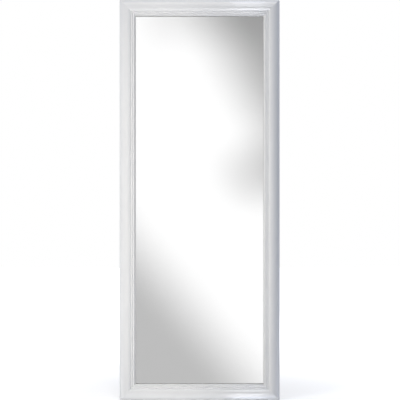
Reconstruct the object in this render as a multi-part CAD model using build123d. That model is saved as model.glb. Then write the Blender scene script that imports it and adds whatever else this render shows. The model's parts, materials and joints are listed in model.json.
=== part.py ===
from build123d import *
import math
import os

# Leaner mirror: a glass pane in a mitred moulding of one wide cushion and two
# reeds, with its back panel, fixings, hanging fittings and pads.
# Sizes are in millimetres. X runs to the right as seen from the front, the
# front faces -Y and Z is up. The origin is on the floor, below the middle.

# Overall sizes
frame_width = 600.0
frame_height = 1500.0
member_width = 60.0
frame_depth = 30.0
bumper_height = 6.0
floor_pad_height = 2.0

# Moulding section: u is measured from the outer edge, v from the back plane
side_wall = 16.5
edge_round = 1.6
cushion_crest_u = 27.5
cushion_end_u = 41.5
cushion_outer_radius = 34.0
cushion_inner_radius = 22.5
first_reed_crest = (45.8, 24.3)
first_reed_radius = 3.2
second_reed_crest = (52.7, 22.2)
second_reed_radius = 3.1
reed_half_width = 2.8
lip_start_u = 55.3
lip_foot = (59.2, 15.6)
sight_edge_v = 14.6
rebate_width = 10.0
rebate_depth = 11.0

# Pane, coating and back panel, which stack up behind the lip
side_clearance = 1.0
top_clearance = 2.0
glass_thickness = 4.0
coating_thickness = 0.1
coating_gap = 0.05
panel_thickness = 3.0

# V-nails, two at each corner, driven from the back across the mitre
nail_places = (15.0, 35.0)
nail_leg = 7.0
nail_thickness = 0.5
nail_height = 12.0
nail_sink = 0.3

# Retaining points, flat steel arrows driven into the wall of the rebate
point_width = 8.0
point_bite = 5.5
point_barb = 3.0
point_reach = 9.0
point_thickness = 0.5
points_per_stile = 7
points_per_rail = 3

# Strap hangers: a steel strap folded round the straight bar of a D-ring
wire_radius = 1.4
wire_sides = 16
eye_clearance = 0.08
strap_width = 13.0
strap_sheet = 0.9
strap_return_radius = 1.15
strap_holes = (20.0, 38.0)
strap_hole_radius = 2.1
ring_half_width = 9.4
ring_corner_radius = 2.6
ring_corner_bends = 2
ring_bow_bends = 8
ring_side = 1.5
ring_butt_gap = 0.4
ring_rest_tilt = 7.0

# Screws of the hangers
screw_head_radius = 3.5
screw_head_height = 2.0
screw_shank_radius = 1.7
screw_bite = 12.0
screw_hole_clearance = 0.05
recess_length = 4.2
recess_width = 0.9
recess_depth = 1.2

# Where the hangers sit
member_middle = (member_width - rebate_width) / 2
portrait_drop = 250.0
landscape_offset = 180.0

# Rubber bumpers and floor pads
bumper_radius = 6.35
bumper_from_end = 90.0
floor_pad_length = 44.0
floor_pad_depth = 9.0
floor_pad_spacing = 470.0

# Planes and heights worked out from the sizes above
back_y = (frame_depth + bumper_height) / 2 - bumper_height
base_z = floor_pad_height
top_z = base_z + frame_height
middle_z = (base_z + top_z) / 2
side_x = frame_width / 2
to_front = (0, -1, 0)


def arc_height(crest, radius, u):
    """Height of a crested arc of the section at u."""
    return crest[1] - radius + math.sqrt(radius**2 - (u - crest[0]) ** 2)


def crested_arc(crest, radius, start_u, end_u):
    """Part of a circle whose highest point is the crest."""
    places = (start_u, (start_u + end_u) / 2, end_u)
    return ThreePointArc(*[(u, arc_height(crest, radius, u)) for u in places])


# Moulding


def moulding_section():
    """Section of the moulding, from the outer wall over the cushion to the lip and rebate."""
    crest = (cushion_crest_u, frame_depth)
    outer = crested_arc(crest, cushion_outer_radius, edge_round, cushion_crest_u)
    inner = crested_arc(crest, cushion_inner_radius, cushion_crest_u, cushion_end_u)
    reeds = []
    for reed_crest, radius, end_u in (
        (first_reed_crest, first_reed_radius, first_reed_crest[0] + reed_half_width),
        (second_reed_crest, second_reed_radius, lip_start_u),
    ):
        reeds.append(crested_arc(reed_crest, radius, reed_crest[0] - reed_half_width, end_u))
    first, second = reeds
    rounding = TangentArc((0, side_wall), outer @ 0, tangent=(0, 1))
    quirk_one = Line(inner @ 1, first @ 0)
    quirk_two = Line(first @ 1, second @ 0)
    lip_slope = Line(second @ 1, lip_foot)
    sight_round = TangentArc(lip_foot, (member_width, sight_edge_v), tangent=lip_slope % 1)
    rebate_u = member_width - rebate_width
    back = Polyline(
        (member_width, sight_edge_v),
        (member_width, rebate_depth),
        (rebate_u, rebate_depth),
        (rebate_u, 0),
        (0, 0),
        (0, side_wall),
    )
    edges = [rounding, outer, inner, quirk_one, first, quirk_two, second, lip_slope, sight_round, back]
    return make_face(edges)


# A member is drawn with its outer edge along X at Z = 0, its width going down and its back at Y = 0
section_plane = Plane(origin=(0, 0, 0), x_dir=(0, 0, -1), z_dir=(-1, 0, 0))


def moulding_member(length):
    """A length of moulding with its two ends mitred at 45 degrees."""
    bar = extrude(section_plane * moulding_section(), amount=length / 2, both=True)
    half = length / 2
    mitre = Polygon(
        (-half, 0),
        (half, 0),
        (half - member_width, -member_width),
        (-half + member_width, -member_width),
        align=None,
    )
    return bar & extrude(Plane.XZ * mitre, amount=frame_depth, dir=to_front)


def retaining_points(count, rebate_length):
    """Arrow-shaped steel points in the wall of the rebate, flat on the back panel."""
    wall_z = -(member_width - rebate_width)
    back_v = rebate_depth - glass_thickness - coating_gap - coating_thickness - panel_thickness
    arrow = Polygon(
        (0, wall_z + point_bite),
        (-point_width / 2, wall_z + point_bite - point_barb),
        (-point_width / 2, wall_z - point_reach),
        (point_width / 2, wall_z - point_reach),
        (point_width / 2, wall_z + point_bite - point_barb),
        align=None,
    )
    plane = Plane.XZ.offset(back_v - point_thickness)
    pitch = rebate_length / count
    solids = []
    for index in range(count):
        place = Location(((index - (count - 1) / 2) * pitch, 0, 0))
        solids.append(place * extrude(plane * arrow, amount=point_thickness, dir=to_front))
    return solids


def v_nails(corner_x, corner_z, start, height):
    """V-nails across one mitre, from a depth below the back plane; the legs run along X and Z."""
    inward_x = -math.copysign(1, corner_x)
    inward_z = 1 if corner_z < middle_z else -1
    half = nail_thickness / 2
    solids = []
    for place in nail_places:
        outline = [
            (place - half, place - half),
            (place + nail_leg, place - half),
            (place + nail_leg, place + half),
            (place + half, place + half),
            (place + half, place + nail_leg),
            (place - half, place + nail_leg),
        ]
        points = [(corner_x + inward_x * a, corner_z + inward_z * b) for a, b in outline]
        plane = Plane.XZ.offset(start - back_y)
        outline_face = plane * make_face(Polyline(*points, close=True))
        solids.append(extrude(outline_face, amount=height, dir=to_front))
    return solids


# Strap hangers, drawn with the strap along X, the hinge axis along Y and the wall side up Z

eye_inner_radius = wire_radius + eye_clearance
eye_outer_radius = eye_inner_radius + strap_sheet
eye_height = eye_outer_radius
strap_top = 2 * strap_sheet
strap_end = strap_holes[1] + strap_width / 2


def strap():
    """Steel strap folded double and pressed flat: its fold is the eye that holds the ring."""
    turn_height = strap_top + strap_return_radius
    reach = eye_outer_radius + strap_return_radius
    turn_s = math.sqrt(reach**2 - (turn_height - eye_height) ** 2)
    share = eye_outer_radius / reach
    meeting = (turn_s * share, eye_height + (turn_height - eye_height) * share)
    lower = Line((strap_end, 0), (0, 0))
    eye = ThreePointArc((0, 0), (-eye_outer_radius, eye_height), meeting)
    hollow = TangentArc(meeting, (turn_s, strap_top), tangent=eye % 1)
    upper = Polyline((turn_s, strap_top), (strap_end, strap_top), (strap_end, 0))
    profile = make_face([lower, eye, hollow, upper]) - Pos(0, eye_height) * Circle(eye_inner_radius)
    folded = extrude(Plane.XZ * profile, amount=strap_width / 2, both=True)
    straight = SlotOverall(2 * (strap_end + strap_width), strap_width)
    outline = Pos(strap_end - (strap_end + strap_width), 0) * straight
    folded = folded & extrude(outline, amount=2 * eye_height)
    for place in strap_holes:
        folded -= Pos(place, 0, 0) * Cylinder(strap_hole_radius, 4 * strap_top)
    return folded


def bend(centre, radius, start, end, count):
    """Corner points of a bend drawn in short straight lengths that touch its arc; angles in degrees."""
    step = (end - start) / count
    reach = radius / math.cos(math.radians(step / 2))
    points = []
    for index in range(count):
        angle = math.radians(start + (index + 0.5) * step)
        points.append((centre[0] + reach * math.cos(angle), centre[1] + reach * math.sin(angle)))
    return points


def ring():
    """D-ring bent from one wire, with its butted ends inside the eye, tilted as it hangs."""
    bar_half = ring_half_width - ring_corner_radius
    bow_s = ring_corner_radius + ring_side
    path = Polyline(
        (0, ring_butt_gap / 2),
        *bend((ring_corner_radius, bar_half), ring_corner_radius, 180, 90, ring_corner_bends),
        *bend((bow_s, 0), ring_half_width, 90, -90, ring_bow_bends),
        *bend((ring_corner_radius, -bar_half), ring_corner_radius, -90, -180, ring_corner_bends),
        (0, -ring_butt_gap / 2),
    )
    wire_plane = Plane(origin=path @ 0, x_dir=(0, 0, 1), z_dir=path % 0)
    wire_section = wire_plane * RegularPolygon(wire_radius, wire_sides)
    wire = sweep(wire_section, path=path, transition=Transition.RIGHT)
    return Pos(0, 0, eye_height) * Rot(0, -ring_rest_tilt, 0) * wire


def screw():
    """Screw with a low round head and a cross recess; Z = 0 is the underside of its head."""
    length = strap_top + screw_bite
    head = Pos(0, 0, screw_head_height / 2) * Cylinder(screw_head_radius, screw_head_height)
    body = head + Pos(0, 0, -length / 2) * Cylinder(screw_shank_radius, length)
    for turn in (0, 90):
        slot = Box(recess_length, recess_width, 2 * recess_depth)
        body -= Pos(0, 0, screw_head_height) * Rot(0, 0, turn) * slot
    return body


def screw_holes():
    """Pilot holes in the moulding below one strap."""
    radius = screw_shank_radius + screw_hole_clearance
    depth = screw_bite + screw_hole_clearance
    return [Pos(place, 0, -depth / 2) * Cylinder(radius, depth) for place in strap_holes]


# Pads


def wall_bumper():
    """Round rubber bumper with a flat face for the wall."""
    return Pos(0, 0, bumper_height / 2) * Cylinder(bumper_radius, bumper_height)


def floor_pad():
    """Flat rubber pad, cut square, under the side wall of the bottom rail."""
    return Pos(0, 0, floor_pad_height / 2) * Box(floor_pad_length, floor_pad_depth, floor_pad_height)


# Assembly

parts = {}

member_places = {
    "rail_top": (frame_width, Location((0, back_y, top_z))),
    "rail_bottom": (frame_width, Location((0, back_y, base_z), (0, 180, 0))),
    "stile_right": (frame_height, Location((side_x, back_y, middle_z), (0, 90, 0))),
    "stile_left": (frame_height, Location((-side_x, back_y, middle_z), (0, -90, 0))),
}
for name, (length, place) in member_places.items():
    side = name.split("_")[1]
    count = points_per_rail if name.startswith("rail") else points_per_stile
    rebate_length = length - 2 * (member_width - rebate_width)
    points = [place * point for point in retaining_points(count, rebate_length)]
    member = place * moulding_member(length)
    for point in points:
        member -= point
    parts[name] = member
    parts[f"retainer_points_{side}"] = Compound(points)

corners = {
    "top_left": (-side_x, top_z),
    "top_right": (side_x, top_z),
    "bottom_left": (-side_x, base_z),
    "bottom_right": (side_x, base_z),
}
for corner, (corner_x, corner_z) in corners.items():
    row, column = corner.split("_")
    for name in (f"rail_{row}", f"stile_{column}"):
        for slot in v_nails(corner_x, corner_z, 0, nail_sink + nail_height):
            parts[name] -= slot
    parts[f"corner_nails_{corner}"] = Compound(v_nails(corner_x, corner_z, nail_sink, nail_height))

# Each sheet stands on the bottom rebate, with its front face at the given height
pane_width = frame_width - 2 * (member_width - rebate_width) - 2 * side_clearance
pane_height = frame_height - 2 * (member_width - rebate_width) - top_clearance
pane_z = base_z + member_width - rebate_width + pane_height / 2
front_v = rebate_depth
for name, thickness, gap in (
    ("mirror_glass", glass_thickness, coating_gap),
    ("silver_coating", coating_thickness, 0.0),
    ("back_panel", panel_thickness, 0.0),
):
    middle_y = back_y - front_v + thickness / 2
    parts[name] = Pos(0, middle_y, pane_z) * Box(pane_width, thickness, pane_height)
    front_v -= thickness + gap

hanger_places = {
    "left": ((-side_x + member_middle, top_z - portrait_drop), (0, 0, -1)),
    "right": ((side_x - member_middle, top_z - portrait_drop), (0, 0, -1)),
    "top": ((landscape_offset, top_z - member_middle), (-1, 0, 0)),
    "bottom": ((landscape_offset, base_z + member_middle), (-1, 0, 0)),
}
for side, ((hanger_x, hanger_z), strap_direction) in hanger_places.items():
    plane = Plane(origin=(hanger_x, back_y, hanger_z), x_dir=strap_direction, z_dir=(0, 1, 0))
    place = plane.location
    carrier = f"stile_{side}" if side in ("left", "right") else f"rail_{side}"
    for hole in screw_holes():
        parts[carrier] -= place * hole
    screws = [place * Pos(hole_s, 0, strap_top) * screw() for hole_s in strap_holes]
    parts[f"hanger_strap_{side}"] = place * strap()
    parts[f"hanger_ring_{side}"] = place * ring()
    parts[f"hanger_screws_{side}"] = Compound(screws)

for corner, (corner_x, corner_z) in corners.items():
    bumper_x = math.copysign(side_x - member_middle, corner_x)
    bumper_z = corner_z + (bumper_from_end if corner_z < middle_z else -bumper_from_end)
    plane = Plane(origin=(bumper_x, back_y, bumper_z), x_dir=(1, 0, 0), z_dir=(0, 1, 0))
    parts[f"wall_bumper_{corner}"] = plane.location * wall_bumper()

pad_y = back_y - side_wall / 2
for side, sign in (("left", -1), ("right", 1)):
    parts[f"floor_pad_{side}"] = Pos(sign * floor_pad_spacing / 2, pad_y, 0) * floor_pad()

os.makedirs("parts", exist_ok=True)
for name, shape in parts.items():
    export_step(shape, f"parts/{name}.step")
    print(name, "volume", round(shape.volume, 1))
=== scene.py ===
import json
import math

import bmesh
import bpy
from bmesh.types import BMEdge, BMVert
from mathutils import Matrix, Vector


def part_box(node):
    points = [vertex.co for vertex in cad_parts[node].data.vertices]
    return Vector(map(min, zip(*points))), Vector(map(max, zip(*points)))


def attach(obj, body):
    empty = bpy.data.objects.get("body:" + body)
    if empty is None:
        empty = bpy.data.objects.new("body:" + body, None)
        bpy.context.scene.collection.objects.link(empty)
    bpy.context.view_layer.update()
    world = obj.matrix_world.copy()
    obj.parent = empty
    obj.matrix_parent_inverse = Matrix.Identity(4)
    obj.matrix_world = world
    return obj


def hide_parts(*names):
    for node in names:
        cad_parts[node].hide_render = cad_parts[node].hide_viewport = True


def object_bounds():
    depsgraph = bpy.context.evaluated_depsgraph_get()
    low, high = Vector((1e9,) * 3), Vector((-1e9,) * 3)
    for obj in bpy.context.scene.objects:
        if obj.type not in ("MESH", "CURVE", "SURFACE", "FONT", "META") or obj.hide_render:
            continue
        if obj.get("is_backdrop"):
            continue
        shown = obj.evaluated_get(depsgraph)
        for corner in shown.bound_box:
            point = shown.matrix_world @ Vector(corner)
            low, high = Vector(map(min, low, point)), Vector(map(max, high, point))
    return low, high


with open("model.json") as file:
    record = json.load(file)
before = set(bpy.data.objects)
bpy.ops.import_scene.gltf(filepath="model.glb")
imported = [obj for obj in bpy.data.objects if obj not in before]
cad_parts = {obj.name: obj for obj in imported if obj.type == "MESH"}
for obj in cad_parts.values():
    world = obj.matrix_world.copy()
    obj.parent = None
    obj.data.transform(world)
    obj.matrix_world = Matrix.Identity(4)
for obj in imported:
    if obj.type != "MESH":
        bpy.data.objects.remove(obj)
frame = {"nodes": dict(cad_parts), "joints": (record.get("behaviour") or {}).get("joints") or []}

# Leaner mirror: a pane in a sprayed white moulding of one cushion and two reeds.
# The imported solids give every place; the mouldings and small fittings are drawn finer here.

mm = 0.001
mergeWithin = 1e-6  # metres
nodes = frame["nodes"]
cadLow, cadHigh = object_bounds()
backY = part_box("rail_top")[1].y  # plane of the frame's back
topZ = cadHigh.z
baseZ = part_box("rail_bottom")[0].z
sideX = cadHigh.x
middleZ = (baseZ + topZ) / 2
print("frame loaded:", len(nodes), "nodes")


# Small helpers

def linear(hexColour):  # sRGB hex to the linear values that the shaders take
    parts = [int(hexColour[i:i + 2], 16) / 255 for i in (1, 3, 5)]
    return [c / 12.92 if c <= 0.04045 else ((c + 0.055) / 1.055) ** 2.4 for c in parts] + [1.0]


def addNode(tree, kind, settings=None, links=None):  # a link from a node is from its first output
    node = tree.nodes.new(kind)
    for key, value in (settings or {}).items():
        if isinstance(key, int) or key in node.inputs:
            node.inputs[key].default_value = value
        else:
            setattr(node, key, value)
    for key, source in (links or {}).items():
        output = source.outputs[0] if isinstance(source, bpy.types.Node) else source
        tree.links.new(output, node.inputs[key])
    return node


def newMaterial(name):
    material = bpy.data.materials.new(name)
    material.use_nodes = True
    material.node_tree.nodes.clear()
    return material, material.node_tree


# Materials. In a Mix node 6 and 7 are the two colours, and output 2 is their blend.

lacquer = {
    "paint": "#F0F0F0", "paintShade": "#ECECEC", "roughness": 0.34, "ior": 1.49,
    "coatRoughness": 0.07, "coatIor": 1.5, "cloud": 260.0, "cloudDetail": 2.0,
    "peel": 2.4, "peelDetail": 1.0, "peelDepth": 0.012, "bump": 0.5,
}


def sprayedWhiteLacquer():  # acrylic, sprayed: a clean white, soft deep gloss and slight peel
    material, tree = newMaterial("sprayedWhiteLacquer")
    place = addNode(tree, "ShaderNodeTexCoord").outputs["Object"]
    cloud = addNode(tree, "ShaderNodeTexNoise", {
        "Scale": 1 / (lacquer["cloud"] * mm), "Detail": lacquer["cloudDetail"]}, {"Vector": place})
    colour = addNode(tree, "ShaderNodeMix", {
        "data_type": "RGBA", 6: linear(lacquer["paintShade"]), 7: linear(lacquer["paint"]),
    }, {0: cloud})
    peel = addNode(tree, "ShaderNodeTexNoise", {
        "Scale": 1 / (lacquer["peel"] * mm), "Detail": lacquer["peelDetail"]}, {"Vector": place})
    bump = addNode(tree, "ShaderNodeBump", {
        "Strength": lacquer["bump"], "Distance": lacquer["peelDepth"] * mm}, {"Height": peel})
    shader = addNode(tree, "ShaderNodeBsdfPrincipled", {
        "Roughness": lacquer["roughness"], "IOR": lacquer["ior"], "Coat Weight": 1.0,
        "Coat Roughness": lacquer["coatRoughness"], "Coat IOR": lacquer["coatIor"],
    }, {"Base Color": colour.outputs[2], "Normal": bump, "Coat Normal": bump})
    addNode(tree, "ShaderNodeOutputMaterial", {}, {"Surface": shader})
    return material


# real fibres are far finer; they are drawn this coarse so that they show
pine = {
    "light": "#D9BE93", "dark": "#B8935F", "spray": "#E9E6DF", "roughness": 0.72,
    "rings": {"spacing": 4.0, "stretch": 30.0, "detail": 3.0, "wander": 0.6},
    "fibres": {"spacing": 1.1, "stretch": 25.0, "detail": 2.0, "wander": 0.0},
    "fibreShare": 0.35, "fibreDepth": 0.08, "bump": 0.4, "grain": (0.42, 0.95),
    "sprayWidth": 5.0, "sprayFade": 1.6, "sprayCover": 0.85, "ragged": 9.0, "raggedDetail": 3.0,
}


def planedPine():  # softwood, planed and left bare: pale grain along it, a ragged edge of spray
    material, tree = newMaterial("planedPine")
    along = addNode(tree, "ShaderNodeTexCoord").outputs["UV"]
    layers = []
    for layer in (pine["rings"], pine["fibres"]):
        scale = 1 / (layer["spacing"] * mm)
        stretched = addNode(tree, "ShaderNodeMapping", {
            "Scale": (scale / layer["stretch"], scale, 1)}, {"Vector": along})
        layers.append(addNode(tree, "ShaderNodeTexNoise", {
            "Scale": 1.0, "Detail": layer["detail"], "Distortion": layer["wander"],
        }, {"Vector": stretched}))
    rings, fibres = layers
    both = addNode(tree, "ShaderNodeMath", {
        "operation": "MULTIPLY_ADD", 1: pine["fibreShare"]}, {0: fibres, 2: rings})
    grain = addNode(tree, "ShaderNodeMapRange", {
        "From Min": pine["grain"][0], "From Max": pine["grain"][1]}, {"Value": both})
    wood = addNode(tree, "ShaderNodeMix", {
        "data_type": "RGBA", 6: linear(pine["light"]), 7: linear(pine["dark"])}, {0: grain})
    # overspray from the painted side, thick at the outer edge
    width = pine["sprayWidth"] * mm
    across = addNode(tree, "ShaderNodeSeparateXYZ", {}, {"Vector": along}).outputs["Y"]
    ragged = addNode(tree, "ShaderNodeTexNoise", {
        "Scale": 1 / (pine["ragged"] * mm), "Detail": pine["raggedDetail"]}, {"Vector": along})
    edge = addNode(tree, "ShaderNodeMath", {
        "operation": "MULTIPLY_ADD", 1: width}, {0: ragged, 2: across})
    spray = addNode(tree, "ShaderNodeMapRange", {
        "interpolation_type": "SMOOTHSTEP", "To Min": pine["sprayCover"], "To Max": 0.0,
        "From Min": width, "From Max": pine["sprayFade"] * width}, {"Value": edge})
    colour = addNode(tree, "ShaderNodeMix", {
        "data_type": "RGBA", 7: linear(pine["spray"])}, {0: spray, 6: wood.outputs[2]})
    bump = addNode(tree, "ShaderNodeBump", {
        "Strength": pine["bump"], "Distance": pine["fibreDepth"] * mm}, {"Height": fibres})
    shader = addNode(tree, "ShaderNodeBsdfPrincipled", {
        "Roughness": pine["roughness"]}, {"Base Color": colour.outputs[2], "Normal": bump})
    addNode(tree, "ShaderNodeOutputMaterial", {}, {"Surface": shader})
    return material


pane = {"tint": "#FEFEFE", "ior": 1.52}


def clearFloatGlass():  # 4 mm float glass: quite clear, and too thin for its green to show
    material, tree = newMaterial("clearFloatGlass")
    shader = addNode(tree, "ShaderNodeBsdfPrincipled", {
        "Base Color": linear(pane["tint"]), "Roughness": 0.0, "IOR": pane["ior"],
        "Transmission Weight": 1.0})
    addNode(tree, "ShaderNodeOutputMaterial", {}, {"Surface": shader})
    return material


silvering = {"shade": "#F8F8F8", "bright": "#FAFAFA", "cloud": 300.0, "cloudDetail": 1.0}


def silverCoating():  # silver deposited from a bath: a bright mirror with hardly any tint
    material, tree = newMaterial("silverCoating")
    place = addNode(tree, "ShaderNodeTexCoord").outputs["Object"]
    cloud = addNode(tree, "ShaderNodeTexNoise", {
        "Scale": 1 / (silvering["cloud"] * mm), "Detail": silvering["cloudDetail"],
    }, {"Vector": place})
    colour = addNode(tree, "ShaderNodeMix", {
        "data_type": "RGBA", 6: linear(silvering["shade"]), 7: linear(silvering["bright"]),
    }, {0: cloud})
    shader = addNode(tree, "ShaderNodeBsdfPrincipled", {
        "Metallic": 1.0, "Roughness": 0.0}, {"Base Color": colour.outputs[2]})
    addNode(tree, "ShaderNodeOutputMaterial", {}, {"Surface": shader})
    return material


# the real screen has about 1.2 mm between wires; it is drawn coarser so that it shows
hardboard = {
    "light": "#9A7650", "dark": "#7C5B3B", "fleck": "#A6845C", "roughness": 0.85,
    "cloud": 60.0, "fibre": 3.0, "detail": 4.0, "fibreWander": 0.5, "cloudShare": 0.6,
    "mottle": (0.6, 1.0), "flecks": (0.64, 0.72), "screen": 3.2,
    "fibreHeight": 1.5, "depth": 0.15, "bump": 0.5,
}


def pressedHardboard():  # wet-pressed, screen side out: dull brown, flecked, with the wires' print
    material, tree = newMaterial("pressedHardboard")
    place = addNode(tree, "ShaderNodeTexCoord").outputs["Object"]
    cloud = addNode(tree, "ShaderNodeTexNoise", {
        "Scale": 1 / (hardboard["cloud"] * mm), "Detail": hardboard["detail"]}, {"Vector": place})
    fibre = addNode(tree, "ShaderNodeTexNoise", {
        "Scale": 1 / (hardboard["fibre"] * mm), "Detail": hardboard["detail"],
        "Distortion": hardboard["fibreWander"]}, {"Vector": place})
    both = addNode(tree, "ShaderNodeMath", {
        "operation": "MULTIPLY_ADD", 1: hardboard["cloudShare"]}, {0: cloud, 2: fibre})
    mottle = addNode(tree, "ShaderNodeMapRange", {
        "From Min": hardboard["mottle"][0], "From Max": hardboard["mottle"][1]}, {"Value": both})
    flecks = addNode(tree, "ShaderNodeMapRange", {
        "From Min": hardboard["flecks"][0], "From Max": hardboard["flecks"][1]}, {"Value": fibre})
    pulp = addNode(tree, "ShaderNodeMix", {
        "data_type": "RGBA", 6: linear(hardboard["dark"]), 7: linear(hardboard["light"]),
    }, {0: mottle})
    colour = addNode(tree, "ShaderNodeMix", {
        "data_type": "RGBA", 7: linear(hardboard["fleck"])}, {0: flecks, 6: pulp.outputs[2]})
    split = addNode(tree, "ShaderNodeSeparateXYZ", {}, {"Vector": place})
    waves = []
    for axis in ("X", "Z"):
        turned = addNode(tree, "ShaderNodeMath", {
            "operation": "MULTIPLY", 1: 2 * math.pi / (hardboard["screen"] * mm),
        }, {0: split.outputs[axis]})
        waves.append(addNode(tree, "ShaderNodeMath", {"operation": "SINE"}, {0: turned}))
    screen = addNode(tree, "ShaderNodeMath", {"operation": "MAXIMUM"}, {0: waves[0], 1: waves[1]})
    height = addNode(tree, "ShaderNodeMath", {
        "operation": "MULTIPLY_ADD", 1: hardboard["fibreHeight"]}, {0: fibre, 2: screen})
    bump = addNode(tree, "ShaderNodeBump", {
        "Strength": hardboard["bump"], "Distance": hardboard["depth"] * mm}, {"Height": height})
    shader = addNode(tree, "ShaderNodeBsdfPrincipled", {
        "Roughness": hardboard["roughness"]}, {"Base Color": colour.outputs[2], "Normal": bump})
    addNode(tree, "ShaderNodeOutputMaterial", {}, {"Surface": shader})
    return material


steelCloud = {"detail": 3.0, "low": 0.3, "high": 0.7, "depth": 0.02, "bump": 0.3}
steels = {
    # dull grey strip, cut and bent
    "drawnNailSteel": {
        "dark": "#7E8084", "light": "#A3A5A8", "grain": 1.5, "roughness": 0.42, "spread": 0.08},
    # stamped thin sheet, slightly spangled
    "galvanisedPointSteel": {
        "dark": "#8F9296", "light": "#B9BCBF", "grain": 3.0, "roughness": 0.38, "spread": 0.08},
    # pressed strip, bright zinc with a bluish cast
    "zincPlatedStrapSteel": {
        "dark": "#B4B8BC", "light": "#D3D6D9", "grain": 2.0, "roughness": 0.27, "spread": 0.06},
    # bent wire, smooth and brighter than the strap
    "nickelPlatedWire": {
        "dark": "#C4C3BF", "light": "#DEDDDA", "grain": 1.2, "roughness": 0.16, "spread": 0.04},
    # cold-headed screws
    "zincPlatedScrewSteel": {
        "dark": "#A9ACB0", "light": "#CFD2D5", "grain": 0.9, "roughness": 0.25, "spread": 0.05},
}


def steelFinish(name):  # cloudy metal: colour and roughness wander over its grain
    steel = steels[name]
    material, tree = newMaterial(name)
    place = addNode(tree, "ShaderNodeTexCoord").outputs["Object"]
    cloud = addNode(tree, "ShaderNodeTexNoise", {
        "Scale": 1 / (steel["grain"] * mm), "Detail": steelCloud["detail"]}, {"Vector": place})
    rough = addNode(tree, "ShaderNodeMapRange", {
        "From Min": steelCloud["low"], "To Min": steel["roughness"] - steel["spread"],
        "From Max": steelCloud["high"], "To Max": steel["roughness"] + steel["spread"],
    }, {"Value": cloud})
    bump = addNode(tree, "ShaderNodeBump", {
        "Strength": steelCloud["bump"], "Distance": steelCloud["depth"] * mm}, {"Height": cloud})
    colour = addNode(tree, "ShaderNodeMix", {
        "data_type": "RGBA", 6: linear(steel["dark"]), 7: linear(steel["light"])}, {0: cloud})
    shader = addNode(tree, "ShaderNodeBsdfPrincipled", {"Metallic": 1.0}, {
        "Base Color": colour.outputs[2], "Roughness": rough, "Normal": bump})
    addNode(tree, "ShaderNodeOutputMaterial", {}, {"Surface": shader})
    return material


gum = {
    "dark": "#D2D1CA", "light": "#E0DFD9", "cloud": 4.0, "cloudDetail": 2.0,
    "roughness": 0.28, "ior": 1.5, "glow": 0.5, "glowReach": 2.0,
}


def castPolyurethane():  # soft bumper, cast: milky and half clear, with a satin skin
    material, tree = newMaterial("castPolyurethane")
    place = addNode(tree, "ShaderNodeTexCoord").outputs["Object"]
    cloud = addNode(tree, "ShaderNodeTexNoise", {
        "Scale": 1 / (gum["cloud"] * mm), "Detail": gum["cloudDetail"]}, {"Vector": place})
    colour = addNode(tree, "ShaderNodeMix", {
        "data_type": "RGBA", 6: linear(gum["dark"]), 7: linear(gum["light"])}, {0: cloud})
    shader = addNode(tree, "ShaderNodeBsdfPrincipled", {
        "Roughness": gum["roughness"], "IOR": gum["ior"],
        "Subsurface Weight": gum["glow"], "Subsurface Scale": gum["glowReach"] * mm,
    }, {"Base Color": colour.outputs[2]})
    addNode(tree, "ShaderNodeOutputMaterial", {}, {"Surface": shader})
    return material


foam = {
    "dark": "#8C8B87", "light": "#B0AFAA", "roughness": 0.8, "cell": 0.8, "depth": 0.1, "bump": 0.5,
}


def cellularRubber():  # foam rubber, die-cut: matte grey with open cells, drawn a little coarse
    material, tree = newMaterial("cellularRubber")
    place = addNode(tree, "ShaderNodeTexCoord").outputs["Object"]
    cells = addNode(tree, "ShaderNodeTexVoronoi", {
        "Scale": 1 / (foam["cell"] * mm)}, {"Vector": place})
    bump = addNode(tree, "ShaderNodeBump", {
        "Strength": foam["bump"], "Distance": foam["depth"] * mm}, {"Height": cells})
    colour = addNode(tree, "ShaderNodeMix", {
        "data_type": "RGBA", 6: linear(foam["dark"]), 7: linear(foam["light"])}, {0: cells})
    shader = addNode(tree, "ShaderNodeBsdfPrincipled", {
        "Roughness": foam["roughness"]}, {"Base Color": colour.outputs[2], "Normal": bump})
    addNode(tree, "ShaderNodeOutputMaterial", {}, {"Surface": shader})
    return material


paint = sprayedWhiteLacquer()
bareWood = planedPine()
glass = clearFloatGlass()
silver = silverCoating()
board = pressedHardboard()
nailSteel = steelFinish("drawnNailSteel")
pointSteel = steelFinish("galvanisedPointSteel")
strapSteel = steelFinish("zincPlatedStrapSteel")
ringSteel = steelFinish("nickelPlatedWire")
screwSteel = steelFinish("zincPlatedScrewSteel")
bumperGum = castPolyurethane()
padRubber = cellularRubber()
print("materials made:", len(bpy.data.materials))


# Pieces: shared steps

smoothBelow = math.radians(28)  # edges that turn more than this stay sharp


def meshObject(name, bm):  # an object with the bmesh as its mesh; the bmesh is freed
    mesh = bpy.data.meshes.new(name)
    bm.to_mesh(mesh)
    bm.free()
    item = bpy.data.objects.new(name, mesh)
    bpy.context.scene.collection.objects.link(item)
    return item


def addPiece(name, bm, materials, body, node):
    bmesh.ops.recalc_face_normals(bm, faces=bm.faces[:])
    piece = meshObject(name, bm)
    for material in materials:
        piece.data.materials.append(material)
    piece.data.shade_smooth()
    piece.data.set_sharp_from_angle(angle=smoothBelow)
    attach(piece, body)
    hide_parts(node)


def taken(work, *tools):  # a bmesh of the object with its modifiers; the objects are removed
    bpy.context.view_layer.update()
    final = bpy.data.meshes.new_from_object(
        work.evaluated_get(bpy.context.evaluated_depsgraph_get()))
    result = bmesh.new()
    result.from_mesh(final)
    bpy.data.meshes.remove(final)
    for item in (work, *tools):
        mesh = item.data
        bpy.data.objects.remove(item)
        bpy.data.meshes.remove(mesh)
    return result


def carved(bm, cutters, mode="DIFFERENCE"):  # cuts the solid with each cutter, or joins them
    work, *tools = [meshObject("work", item) for item in (bm, *cutters)]
    for item in (work, *tools):
        for slot in range(2):  # two empty slots keep the faces' material numbers
            item.data.materials.append(None)
    for tool in tools:
        step = work.modifiers.new("carve", "BOOLEAN")
        step.object, step.operation, step.solver = tool, mode, "EXACT"
    return taken(work, *tools)


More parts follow.
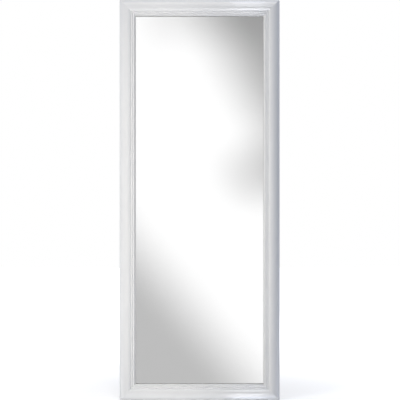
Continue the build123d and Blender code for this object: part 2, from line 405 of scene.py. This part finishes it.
def picked(items, kind):  # the vertices or edges among what an operator made
    return [item for item in items if isinstance(item, kind)]


def drawOut(bm, vec):  # makes a solid of a flat outline
    made = bmesh.ops.extrude_face_region(bm, geom=bm.faces[:])
    bmesh.ops.translate(bm, verts=picked(made["geom"], BMVert), vec=vec)


def turnRound(bm, steps):  # makes a closed solid of half a section, round the Z axis
    bmesh.ops.spin(
        bm, geom=bm.verts[:] + bm.edges[:], cent=(0, 0, 0), axis=(0, 0, 1),
        angle=2 * math.pi, steps=steps, use_merge=True)
    bmesh.ops.remove_doubles(bm, verts=bm.verts[:], dist=mergeWithin)
    bmesh.ops.recalc_face_normals(bm, faces=bm.faces[:])


# Mouldings. In their section u runs in from the outer edge, and v forward from the back.

moulding = {
    "width": 60.0, "sideWall": 16.5, "edgeRound": 1.6,
    "crest": (27.5, 30.0), "outerRadius": 34.0, "innerRadius": 22.5, "cushionEnd": 41.5,
    "reeds": ((45.8, 24.3, 3.2, 48.6), (52.7, 22.2, 3.1, 55.3)),  # crest u and v, radius, last u
    "reedHalf": 2.8, "lipFoot": (59.2, 15.6), "sightEdge": 14.6, "rebate": (10.0, 11.0),
    "arcStep": 4.0, "smallArcStep": 12.0, "leastSteps": 2, "mitreEase": 0.2,
}
cutWithin = 1e-7  # metres, for the mitre's plane
onPlane = 1e-5  # metres, for faces that lie in the back or the rebate
mitreSides = 12  # only the face of a mitre has more corners


def arcHeight(crestU, crestV, radius, u):
    return crestV - radius + math.sqrt(radius ** 2 - (u - crestU) ** 2)


def lineTo(bm, chain, u, v):
    chain.append(bm.verts.new((0, -v * mm, -u * mm)))
    bm.edges.new(chain[-2:])


def arcTo(bm, chain, centreU, centreV, turn, step):
    made = bmesh.ops.spin(
        bm, geom=[chain[-1]], cent=(0, -centreV * mm, -centreU * mm), axis=(1, 0, 0), angle=turn,
        steps=max(moulding["leastSteps"], round(abs(math.degrees(turn)) / step)), use_merge=False)
    chain.append(picked(made["geom_last"], BMVert)[0])


def mouldingSection(bm):  # the same profile as the solid's, with finer arcs
    m = moulding
    crestU, crestV = m["crest"]
    rebateU, rebateV = m["width"] - m["rebate"][0], m["rebate"][1]
    chain = [bm.verts.new((0, 0, 0))]
    lineTo(bm, chain, 0, m["sideWall"])
    # a small round leads from the side wall to the cushion
    rise = arcHeight(crestU, crestV, m["outerRadius"], m["edgeRound"]) - m["sideWall"]
    edgeRadius = (m["edgeRound"] ** 2 + rise ** 2) / (2 * m["edgeRound"])
    edgeEnd = math.atan2(m["edgeRound"] - edgeRadius, rise)
    arcTo(bm, chain, edgeRadius, m["sideWall"], edgeEnd + math.pi / 2, m["smallArcStep"])
    start = math.asin((m["edgeRound"] - crestU) / m["outerRadius"])
    arcTo(bm, chain, crestU, crestV - m["outerRadius"], -start, m["arcStep"])
    end = math.asin((m["cushionEnd"] - crestU) / m["innerRadius"])
    arcTo(bm, chain, crestU, crestV - m["innerRadius"], end, m["arcStep"])
    for reedU, reedV, radius, endU in m["reeds"]:
        startU = reedU - m["reedHalf"]
        lineTo(bm, chain, startU, arcHeight(reedU, reedV, radius, startU))
        turn = math.asin((endU - reedU) / radius) + math.asin(m["reedHalf"] / radius)
        arcTo(bm, chain, reedU, reedV - radius, turn, m["smallArcStep"])
    for u, v in (m["lipFoot"], (m["width"], m["sightEdge"]), (m["width"], rebateV),
                 (rebateU, rebateV), (rebateU, 0)):
        lineTo(bm, chain, u, v)
    bm.edges.new((chain[-1], chain[0]))


nails = {"places": (15.0, 35.0), "leg": 7.0, "thickness": 0.5, "depth": 12.3, "overcut": 0.5}


def nailSlot(cornerX, cornerZ, place):  # V-shaped slot that the nail stands in, open to the back
    inX, inZ = -math.copysign(1, cornerX), 1 if cornerZ < middleZ else -1
    half, reach = nails["thickness"] / 2, place + nails["leg"]
    outline = [
        (place - half, place - half), (reach, place - half), (reach, place + half),
        (place + half, place + half), (place + half, reach), (place - half, reach)]
    behind = backY + nails["overcut"] * mm
    bm = bmesh.new()
    bm.faces.new([
        bm.verts.new((cornerX + inX * a * mm, behind, cornerZ + inZ * b * mm)) for a, b in outline])
    drawOut(bm, (0, -(nails["depth"] + nails["overcut"]) * mm, 0))
    bmesh.ops.recalc_face_normals(bm, faces=bm.faces[:])
    for face in bm.faces:
        face.material_index = 1
    return bm


def buildMoulding(length, angle, origin):
    m = moulding
    bm = bmesh.new()
    mouldingSection(bm)
    bmesh.ops.contextual_create(bm, geom=bm.edges[:])
    bmesh.ops.translate(bm, verts=bm.verts[:], vec=(-length / 2, 0, 0))
    drawOut(bm, (length, 0, 0))
    for side in (1, -1):
        cut = bmesh.ops.bisect_plane(
            bm, geom=bm.verts[:] + bm.edges[:] + bm.faces[:], dist=cutWithin,
            plane_co=(side * length / 2, 0, 0), plane_no=(side, 0, -1), clear_outer=True)
        bmesh.ops.contextual_create(bm, geom=picked(cut["geom_cut"], BMEdge))
    bmesh.ops.recalc_face_normals(bm, faces=bm.faces[:])
    # the back, the rebate and the mitres are bare wood
    rebateU, rebateV = (m["width"] - m["rebate"][0]) * mm, m["rebate"][1] * mm
    for face in bm.faces:
        centre = face.calc_center_median()
        inRebate = -centre.z > rebateU - onPlane and -centre.y < rebateV + onPlane
        bare = abs(centre.y) < onPlane or inRebate or len(face.verts) > mitreSides
        face.material_index = 1 if bare else 0
    # the arris of each mitre is eased a little, which leaves a fine line at the corner
    fronts = []
    for edge in bm.edges:
        kinds = sorted(len(face.verts) > mitreSides for face in edge.link_faces)
        lowest = min(-vert.co.y for vert in edge.verts)
        if kinds == [False, True] and lowest > (m["sightEdge"] + m["mitreEase"]) * mm:
            fronts.append(edge)
    bmesh.ops.bevel(
        bm, geom=fronts, offset=m["mitreEase"] * mm, segments=1, affect="EDGES",
        profile=0.5, material=0, clamp_overlap=True)
    grain = bm.loops.layers.uv.new("alongAcross")
    for face in bm.faces:
        for loop in face.loops:
            loop[grain].uv = (loop.vert.co.x, -loop.vert.co.z - loop.vert.co.y)
    matrix = Matrix.Translation(origin) @ Matrix.Rotation(angle, 4, "Y")
    bmesh.ops.transform(bm, matrix=matrix, verts=bm.verts[:])
    return bm


members = {  # turn about Y, and where the middle of the outer edge lies
    "rail_top": (0, 0, topZ), "rail_bottom": (math.pi, 0, baseZ),
    "stile_right": (math.pi / 2, sideX, middleZ), "stile_left": (-math.pi / 2, -sideX, middleZ),
}
for node, (angle, x, z) in members.items():
    ends = [(x, baseZ), (x, topZ)] if x else [(-sideX, z), (sideX, z)]
    slots = [nailSlot(*end, place) for end in ends for place in nails["places"]]
    bm = buildMoulding(math.dist(*ends), angle, (x, backY, z))
    addPiece(
        "moulding_" + node, carved(bm, slots), [paint, bareWood], "mirror",
        node)
print("mouldings built")


# Hanging fittings, drawn with the strap along X, the hinge axis along Y and the wall side up Z

strapSize = {
    "width": 13.0, "sheet": 0.86, "step": 0.9, "eyeInner": 1.48, "turnRadius": 1.15,
    "holes": (20.0, 38.0), "holeRadius": 2.1, "edge": 0.14, "edgeSegments": 2, "sharp": 50.0,
    "eyeSteps": 30, "turnSteps": 8, "endSides": 64, "holeSides": 40, "cutReach": 10.0,
}  # sheet is the metal, step what a layer takes up; edges sharper than sharp are eased
eyeHeight = (strapSize["eyeInner"] + strapSize["step"]) * mm
strapTop = 2 * strapSize["step"] * mm


def foldedStrip():  # one strip folded double round the ring's bar and pressed flat
    s = strapSize
    half = s["step"] / 2
    eyeV = s["eyeInner"] + s["step"]
    turnV = 2 * s["step"] + s["turnRadius"]
    reach = s["eyeInner"] + s["step"] + s["turnRadius"]
    turnX = math.sqrt(reach ** 2 - (turnV - eyeV) ** 2)
    meeting = math.atan2(turnV - eyeV, turnX)
    end = s["holes"][1] + s["width"] / 2
    bm = bmesh.new()
    line = [bm.verts.new((end * mm, 0, half * mm)), bm.verts.new((0, 0, half * mm))]
    bm.edges.new(line)
    # round the bar, and then a small turn the other way, back to the flat
    made = bmesh.ops.spin(
        bm, geom=[line[-1]], cent=(0, 0, eyeV * mm), axis=(0, 1, 0),
        angle=1.5 * math.pi - meeting, steps=s["eyeSteps"], use_merge=False)
    last = picked(made["geom_last"], BMVert)[0]
    made = bmesh.ops.spin(
        bm, geom=[last], cent=(turnX * mm, 0, turnV * mm), axis=(0, 1, 0),
        angle=meeting - math.pi / 2, steps=s["turnSteps"], use_merge=False)
    last = picked(made["geom_last"], BMVert)[0]
    bm.edges.new((last, bm.verts.new((end * mm, 0, last.co.z))))
    bmesh.ops.translate(bm, verts=bm.verts[:], vec=(0, -s["width"] / 2 * mm, 0))
    made = bmesh.ops.extrude_edge_only(bm, edges=bm.edges[:])
    bmesh.ops.translate(bm, verts=picked(made["geom"], BMVert), vec=(0, s["width"] * mm, 0))
    bmesh.ops.recalc_face_normals(bm, faces=bm.faces[:])
    strip = meshObject("strip", bm)
    wall = strip.modifiers.new("sheet", "SOLIDIFY")
    wall.thickness, wall.offset, wall.use_even_offset = s["sheet"] * mm, 0, True
    solid = taken(strip)
    bmesh.ops.recalc_face_normals(solid, faces=solid.faces[:])
    return solid


def buildStrap():  # the strip with its free end rounded, its two holes punched and its edges eased
    s = strapSize
    deep = s["cutReach"] * mm
    outline = bmesh.new()
    bmesh.ops.create_circle(
        outline, cap_ends=True, segments=s["endSides"], radius=s["width"] / 2 * mm)
    behind = [vert for vert in outline.verts if vert.co.x < mergeWithin]
    bmesh.ops.translate(outline, verts=behind, vec=(-(2 * s["holes"][1] + s["width"]) * mm, 0, 0))
    bmesh.ops.translate(outline, verts=outline.verts[:], vec=(s["holes"][1] * mm, 0, -deep))
    drawOut(outline, (0, 0, 2 * deep))
    bmesh.ops.recalc_face_normals(outline, faces=outline.faces[:])
    punches = []
    for hole in s["holes"]:
        punches.append(bmesh.new())
        bmesh.ops.create_cone(
            punches[-1], cap_ends=True, segments=s["holeSides"], depth=2 * deep,
            radius1=s["holeRadius"] * mm, radius2=s["holeRadius"] * mm,
            matrix=Matrix.Translation((hole * mm, 0, 0)))
    bm = carved(carved(foldedStrip(), [outline], "INTERSECT"), punches)
    sharp = [
        edge for edge in bm.edges
        if len(edge.link_faces) == 2 and edge.calc_face_angle(0) > math.radians(s["sharp"])]
    bmesh.ops.bevel(
        bm, geom=sharp, offset=s["edge"] * mm, segments=s["edgeSegments"], affect="EDGES",
        profile=0.5, material=-1, clamp_overlap=True)
    return bm


ringSize = {
    "wire": 1.4, "half": 9.4, "corner": 2.6, "side": 1.5, "butt": 0.4, "tilt": 7.0,
    "sides": 20, "cornerSteps": 8, "bowSteps": 32,
}


def buildRing():  # wire bent to a D, its ends butted in the eye, lying a little off the strap
    r = ringSize
    bm = bmesh.new()
    turned = Matrix.Translation((0, r["butt"] / 2 * mm, 0)) @ Matrix.Rotation(math.pi / 2, 4, "X")
    bmesh.ops.create_circle(
        bm, cap_ends=False, segments=r["sides"], radius=r["wire"] * mm, matrix=turned)

    def run(rim, x, y):
        made = bmesh.ops.extrude_edge_only(bm, edges=rim)
        bmesh.ops.translate(bm, verts=picked(made["geom"], BMVert), vec=(x * mm, y * mm, 0))
        return [edge for edge in picked(made["geom"], BMEdge) if len(edge.link_faces) == 1]

    def bend(rim, x, y, degrees, steps):
        made = bmesh.ops.spin(
            bm, geom=rim, cent=(x * mm, y * mm, 0), axis=(0, 0, 1),
            angle=math.radians(degrees), steps=steps, use_merge=False)
        return picked(made["geom_last"], BMEdge)

    bar, bow = r["half"] - r["corner"], r["corner"] + r["side"]
    rim = run(bm.edges[:], 0, bar - r["butt"] / 2)
    rim = bend(rim, r["corner"], bar, -90, r["cornerSteps"])
    rim = run(rim, r["side"], 0)
    rim = bend(rim, bow, 0, -180, r["bowSteps"])
    rim = run(rim, -r["side"], 0)
    rim = bend(rim, r["corner"], -bar, -90, r["cornerSteps"])
    run(rim, 0, bar - r["butt"] / 2)
    bmesh.ops.holes_fill(bm, edges=[edge for edge in bm.edges if edge.is_boundary], sides=0)
    bmesh.ops.recalc_face_normals(bm, faces=bm.faces[:])
    tilted = Matrix.Rotation(math.radians(-r["tilt"]), 4, "Y")
    bmesh.ops.transform(
        bm, matrix=Matrix.Translation((0, 0, eyeHeight)) @ tilted, verts=bm.verts[:])
    return bm


screwSize = {
    "head": 3.5, "height": 2.0, "rim": 0.55, "shank": 1.7, "bite": 12.0,
    "domeSteps": 8, "sides": 36, "turns": (45.0, 63.0),  # how far the screw in each hole is turned
    "recess": (3.9, 0.8, 1.2), "recessFoot": 0.45,  # length, width and depth; share left at its foot
}


def buildScrew():  # low domed head with a cross recess
    s = screwSize
    top, foot = s["height"] * mm, -(s["bite"] * mm + strapTop)
    dome = s["height"] - s["rim"]
    radius = (s["head"] ** 2 + dome ** 2) / (2 * dome)
    bm = bmesh.new()
    chain = [bm.verts.new((s["head"] * mm, 0, s["rim"] * mm))]
    bmesh.ops.spin(
        bm, geom=chain, cent=(0, 0, (s["height"] - radius) * mm), axis=(0, 1, 0),
        angle=-math.asin(s["head"] / radius), steps=s["domeSteps"], use_merge=False)
    for x, z in ((s["head"], 0), (s["shank"], 0), (s["shank"], foot), (0, foot)):
        chain.append(bm.verts.new((x * mm, 0, z)))
        bm.edges.new(chain[-2:])
    turnRound(bm, s["sides"])
    length, width, depth = [value * mm for value in s["recess"]]
    bars = []
    for turn in (0, math.pi / 2):
        bars.append(bmesh.new())
        size = Matrix.Diagonal((length, width, 2 * depth, 1))
        bmesh.ops.create_cube(
            bars[-1], size=1,
            matrix=Matrix.Translation((0, 0, top)) @ Matrix.Rotation(turn, 4, "Z") @ size)
        low = [vert for vert in bars[-1].verts if vert.co.z < top]
        bmesh.ops.scale(bars[-1], vec=(s["recessFoot"], s["recessFoot"], 1), verts=low)
    return carved(bm, [carved(bars[0], bars[1:], "UNION")])


def placed(shape, *matrices):  # copies of one shape, each turned and set in place, in one bmesh
    mesh = bpy.data.meshes.new("shape")
    shape.to_mesh(mesh)
    together = bmesh.new()
    for matrix in matrices:
        start = len(together.verts)
        together.from_mesh(mesh)
        together.verts.ensure_lookup_table()
        bmesh.ops.transform(together, matrix=matrix, verts=together.verts[start:])
    bpy.data.meshes.remove(mesh)
    return together


strapShape, ringShape, screwShape = buildStrap(), buildRing(), buildScrew()
for joint in frame["joints"]:
    side = joint["name"].split("_")[1]
    along = Vector((0, 0, -1)) if side in ("left", "right") else Vector((-1, 0, 0))
    outward = Vector((0, 1, 0))
    origin = Vector(joint["pos_m"]) - outward * eyeHeight
    axes = Matrix((along, outward.cross(along), outward)).transposed().to_4x4()
    place = Matrix.Translation(origin) @ axes
    screws = []
    for hole, turn in zip(strapSize["holes"], screwSize["turns"]):
        onStrap = Matrix.Translation((hole * mm, 0, strapTop))
        screws.append(place @ onStrap @ Matrix.Rotation(math.radians(turn), 4, "Z"))
    addPiece(
        "strap_" + side, placed(strapShape, place), [strapSteel], "mirror",
        "hanger_strap_" + side)
    addPiece(
        "ring_wire_" + side, placed(ringShape, place), [ringSteel], "ring_" + side,
        "hanger_ring_" + side)
    addPiece(
        "screws_" + side, placed(screwShape, *screws), [screwSteel], "mirror",
        "hanger_screws_" + side)
print("hanging fittings built")


# Bumpers and floor pads

bumper = {"radius": 6.35, "height": 6.0, "crown": 1.3, "foot": 0.25, "crownSteps": 8, "sides": 48}


def buildBumper():  # turned about Z, from the foot up to its rounded rim
    b = bumper
    inner, shoulder = b["radius"] - b["crown"], b["height"] - b["crown"]
    bm = bmesh.new()
    chain = [bm.verts.new((0, 0, 0))]
    for x, z in ((b["radius"] - b["foot"], 0), (b["radius"], b["foot"]), (b["radius"], shoulder)):
        chain.append(bm.verts.new((x * mm, 0, z * mm)))
        bm.edges.new(chain[-2:])
    made = bmesh.ops.spin(
        bm, geom=[chain[-1]], cent=(inner * mm, 0, shoulder * mm), axis=(0, 1, 0),
        angle=-math.pi / 2, steps=b["crownSteps"], use_merge=False)
    rim = picked(made["geom_last"], BMVert)[0]
    bm.edges.new((rim, bm.verts.new((0, 0, b["height"] * mm))))
    turnRound(bm, b["sides"])
    return bm


bumperShape = buildBumper()
for corner in ("top_left", "top_right", "bottom_left", "bottom_right"):
    low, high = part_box("wall_bumper_" + corner)
    foot = Vector(((low.x + high.x) / 2, backY, (low.z + high.z) / 2))
    place = Matrix.Translation(foot) @ Matrix.Rotation(-math.pi / 2, 4, "X")
    addPiece(
        "bumper_" + corner, placed(bumperShape, place), [bumperGum], "mirror",
        "wall_bumper_" + corner)

pad = {"edge": 0.35, "edgeSegments": 2}
for side in ("left", "right"):
    low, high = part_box("floor_pad_" + side)
    size = Matrix.Diagonal((*(high - low), 1))
    bm = bmesh.new()
    bmesh.ops.create_cube(bm, size=1, matrix=Matrix.Translation((low + high) / 2) @ size)
    bmesh.ops.bevel(
        bm, geom=bm.edges[:], offset=pad["edge"] * mm, segments=pad["edgeSegments"],
        affect="EDGES", profile=0.5, material=-1)
    addPiece("pad_" + side, bm, [padRubber], "mirror", "floor_pad_" + side)
print("bumpers and pads built")


# Nodes that keep their solid shape get their finish, by the first word of their name

finishes = {
    "mirror": glass, "silver": silver, "back": board, "corner": nailSteel, "retainer": pointSteel,
}
for name, node in nodes.items():
    finish = finishes.get(name.split("_")[0])
    if finish and not node.hide_render:
        node.material_slots[0].material = finish
print("solids dressed")


# Floor, room and lamps

stage = {
    "size": 14.0, "white": "#F4F4F3", "roughness": 0.9,
    "near": 0.3, "far": 1.6, "nearLift": 0.35, "farLift": 0.85,
}


def buildFloor():  # matte and pale; away from the mirror it goes over into the white ground
    bm = bmesh.new()
    bmesh.ops.create_grid(bm, x_segments=1, y_segments=1, size=stage["size"] / 2)
    floor = meshObject("floor", bm)
    material, tree = newMaterial("paleStudioFloor")
    place = addNode(tree, "ShaderNodeTexCoord").outputs["Object"]
    away = addNode(tree, "ShaderNodeVectorMath", {"operation": "LENGTH"}, {0: place})
    lift = addNode(tree, "ShaderNodeMapRange", {
        "interpolation_type": "SMOOTHSTEP", "From Min": stage["near"], "From Max": stage["far"],
        "To Min": stage["nearLift"], "To Max": stage["farLift"]}, {"Value": away.outputs["Value"]})
    path = addNode(tree, "ShaderNodeLightPath")
    glow = addNode(tree, "ShaderNodeMath", {
        "operation": "MULTIPLY"}, {0: path.outputs["Is Camera Ray"], 1: lift})
    shader = addNode(tree, "ShaderNodeBsdfPrincipled", {
        "Base Color": linear(stage["white"]), "Roughness": stage["roughness"],
        "Emission Color": (1, 1, 1, 1)}, {"Emission Strength": glow})
    addNode(tree, "ShaderNodeOutputMaterial", {}, {"Surface": shader})
    floor.data.materials.append(material)
    floor.visible_glossy = floor.visible_transmission = False
    floor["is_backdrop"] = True


# The pane shows a white studio with a few grey places, and the gloss of the moulding a bright
# strip, a cool side that is dark further out, and lighter places above and below. Both are
# drawn by direction: y and z are two of its parts, across and up its slopes to the right and
# upward for one metre forward, steep the size of up, and reach the two slopes together. Each
# band runs smoothly between two values: what it measures, where it starts and ends, and the
# values before and after.
room = {
    "level": 1.14, "ambient": 0.448, "ambientTint": "#E7EFFF", "leastForward": 0.05,
    "toUpperRight": (0.88, 0.476), "toLowerLeft": (-0.765, -0.647),
    "edgeCentre": (0.069, 0.029), "edgeRadii": (0.046, 0.037),
}
paneBands = {
    "upperRight": ("toUpperRight", 0.055, 0.140, 0.0, 0.60),
    "lowerLeft": ("toLowerLeft", 0.043, 0.123, 0.0, 0.50),
    "ceiling": ("up", 0.144, 0.198, 0.0, 0.17),
    "ceilingSide": ("across", -0.078, -0.031, 0.0, 1.0),
    "rightEdge": ("fromEdge", 0.0, 1.5, 0.32, 0.0),
    "fade": ("reach", 0.35, 1.4, 1.0, 0.45),  # far to the side the grey places thin out
    "aside": ("reach", 0.35, 1.4, 0.0, 1.0),  # and the floor darkens
    "floor": ("up", -0.95, -0.45, 0.38, 0.0),
}
gloss = {"tint": "#F9FAFF", "coolTint": "#E2EAFF", "level": 0.25, "stripX": 0.050}
glossBands = {
    "strip": ("fromStrip", 0.012, 0.020, 4.6, 0.0),
    "stripEnds": ("steep", 0.20, 0.26, 0.0, 1.0),  # the strip starts above and below the pane
    "stripLow": ("z", -0.1, 0.1, 1.7, 1.0),
    "cool": ("across", 0.08, 0.12, 0.0, 1.0),
    "coolSide": ("across", 0.08, 0.12, 0.0, 0.05),
    "farSide": ("across", 1.6, 1.92, 0.0, -0.20),
    "above": ("up", 0.25, 0.60, 0.0, 0.5),
    "below": ("up", -0.60, -0.25, 1.4, 0.0),
    "front": ("y", -0.05, 0.05, 1.0, 0.0),
    "back": ("y", -0.05, 0.05, 0.0, 1.0),
    "backLevel": ("z", -0.5, 0.7, 0.20, 0.85),
}
shades = (
    ("upperRight", "fade"), ("lowerLeft", "fade"), ("ceiling", "ceilingSide", "fade"),
    ("rightEdge", "fade"), ("floor", "aside"),
)
glints = (  # from the strip on, in this order
    ("MULTIPLY", "stripEnds"), ("MULTIPLY", "stripLow"), ("ADD", "coolSide"), ("ADD", "farSide"),
    ("ADD", "above"), ("ADD", "below"), ("MULTIPLY", "front"),
)


def measureRay(tree):  # what the bands measure
    ray = addNode(tree, "ShaderNodeTexCoord").outputs["Generated"]
    x, y, z = addNode(tree, "ShaderNodeSeparateXYZ", {}, {"Vector": ray}).outputs
    forward = addNode(tree, "ShaderNodeMath", {"operation": "MULTIPLY", 1: -1.0}, {0: y})
    forward = addNode(tree, "ShaderNodeMath", {
        "operation": "MAXIMUM", 1: room["leastForward"]}, {0: forward})
    across = addNode(tree, "ShaderNodeMath", {"operation": "DIVIDE"}, {0: x, 1: forward})
    up = addNode(tree, "ShaderNodeMath", {"operation": "DIVIDE"}, {0: z, 1: forward})
    slope = addNode(tree, "ShaderNodeCombineXYZ", {}, {"X": across, "Y": up})
    reach = addNode(tree, "ShaderNodeVectorMath", {"operation": "LENGTH"}, {0: slope})
    offset = addNode(tree, "ShaderNodeVectorMath", {
        "operation": "SUBTRACT", 1: (*room["edgeCentre"], 0)}, {0: slope})
    scaled = addNode(tree, "ShaderNodeVectorMath", {
        "operation": "DIVIDE", 1: (*room["edgeRadii"], 1)}, {0: offset})
    fromEdge = addNode(tree, "ShaderNodeVectorMath", {"operation": "LENGTH"}, {0: scaled})
    aside = addNode(tree, "ShaderNodeMath", {"operation": "SUBTRACT", 1: gloss["stripX"]}, {0: x})
    measures = {
        "y": y, "z": z, "across": across, "up": up,
        "reach": reach.outputs["Value"], "fromEdge": fromEdge.outputs["Value"],
        "fromStrip": addNode(tree, "ShaderNodeMath", {"operation": "ABSOLUTE"}, {0: aside}),
        "steep": addNode(tree, "ShaderNodeMath", {"operation": "ABSOLUTE"}, {0: up}),
    }
    for place in ("toUpperRight", "toLowerLeft"):
        lean = addNode(tree, "ShaderNodeVectorMath", {
            "operation": "DOT_PRODUCT", 1: (*room[place], 0)}, {0: slope})
        measures[place] = lean.outputs["Value"]
    return measures


def buildRoom():
    world = bpy.data.worlds.new("studio")
    bpy.context.scene.world = world
    world.use_nodes = True
    tree = world.node_tree
    tree.nodes.clear()
    measures, bands = measureRay(tree), {}
    for name, (measure, low, high, before, after) in {**paneBands, **glossBands}.items():
        bands[name] = addNode(tree, "ShaderNodeMapRange", {
            "interpolation_type": "SMOOTHSTEP", "From Min": low, "From Max": high,
            "To Min": before, "To Max": after}, {"Value": measures[measure]})

    # what the pane shows: each grey place takes its share of the light
    light = addNode(tree, "ShaderNodeMath", {"operation": "ADD", 0: room["level"], 1: 0.0})
    for first, *others in shades:
        shade = bands[first]
        for other in others:
            shade = addNode(tree, "ShaderNodeMath", {
                "operation": "MULTIPLY"}, {0: shade, 1: bands[other]})
        left = addNode(tree, "ShaderNodeMath", {"operation": "SUBTRACT", 0: 1.0}, {1: shade})
        light = addNode(tree, "ShaderNodeMath", {"operation": "MULTIPLY"}, {0: light, 1: left})

    # what the gloss of the moulding shows
    glint = bands["strip"]
    for operation, name in glints:
        glint = addNode(tree, "ShaderNodeMath", {
            "operation": operation}, {0: glint, 1: bands[name]})
    glint = addNode(tree, "ShaderNodeMath", {
        "operation": "MULTIPLY_ADD"}, {0: bands["backLevel"], 1: bands["back"], 2: glint})
    glint = addNode(tree, "ShaderNodeMath", {"operation": "ADD", 1: gloss["level"]}, {0: glint})
    tint = addNode(tree, "ShaderNodeMix", {
        "data_type": "RGBA", 6: linear(gloss["tint"]), 7: linear(gloss["coolTint"]),
    }, {0: bands["cool"]})

    shown = addNode(tree, "ShaderNodeBackground", {
        "Color": linear(room["ambientTint"]), "Strength": room["ambient"]})
    inGloss = addNode(tree, "ShaderNodeBackground", {}, {
        "Color": tint.outputs[2], "Strength": glint})
    inPane = addNode(tree, "ShaderNodeBackground", {"Color": (1, 1, 1, 1)}, {"Strength": light})
    ground = addNode(tree, "ShaderNodeBackground", {"Color": (1, 1, 1, 1), "Strength": 1.0})
    path = addNode(tree, "ShaderNodeLightPath")
    for rays, background in (
            ("Is Glossy Ray", inGloss), ("Is Transmission Ray", inPane), ("Is Camera Ray", ground)):
        shown = addNode(tree, "ShaderNodeMixShader", {}, {
            0: path.outputs[rays], 1: shown, 2: background})
    addNode(tree, "ShaderNodeOutputWorld", {}, {"Surface": shown})


# place, size across and up, watts and colour; each lamp faces the middle of the mirror,
# and the two in front are kept out of the gloss, because they would show in the pane
lamps = {
    "softboxLeft": {
        "place": (-1.55, -1.15, 0.95), "size": (1.1, 2.0), "power": 9.9, "colour": "#FFFCF4",
        "glossy": False},
    "softboxMiddle": {
        "place": (-0.20, -0.42, 0.75), "size": (0.20, 1.5), "power": 2.0, "colour": "#FFF9ED",
        "glossy": False},
    "softboxOver": {
        "place": (0.10, -0.70, 2.90), "size": (1.4, 1.0), "power": 6.1, "colour": "#FFF7EA",
        "glossy": True},
    "softboxBack": {
        "place": (0.70, 2.40, 1.70), "size": (1.6, 1.6), "power": 24.0, "colour": "#FFFFFF",
        "glossy": True},
}


def buildLamps():
    for name, lamp in lamps.items():
        data = bpy.data.lights.new(name, "AREA")
        data.shape, data.energy = "RECTANGLE", lamp["power"]
        data.size, data.size_y = lamp["size"]
        data.color = linear(lamp["colour"])[:3]
        light = bpy.data.objects.new(name, data)
        bpy.context.scene.collection.objects.link(light)
        light.location = lamp["place"]
        aim = Vector((0, 0, middleZ)) - light.location
        light.rotation_euler = aim.to_track_quat("-Z", "Y").to_euler()
        light.visible_camera = light.visible_transmission = False
        light.visible_glossy = lamp["glossy"]


# The camera looks straight at the front, level with the middle of the frame

view = {"distance": 3.6, "side": 0.0015, "frontPlane": -0.0045, "seenHeight": 1.5, "sensor": 36.0}


def buildCamera():
    data = bpy.data.cameras.new("camera")
    data.sensor_width = view["sensor"]
    data.lens = view["sensor"] * view["distance"] / view["seenHeight"]
    camera = bpy.data.objects.new("camera", data)
    bpy.context.scene.collection.objects.link(camera)
    camera.location = (view["side"], view["frontPlane"] - view["distance"], middleZ)
    camera.rotation_euler = (math.pi / 2, 0, 0)
    bpy.context.scene.camera = camera


buildFloor()
buildRoom()
buildLamps()
buildCamera()
bpy.context.scene.view_settings.view_transform = "Standard"
print("stage set")

low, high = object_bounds()
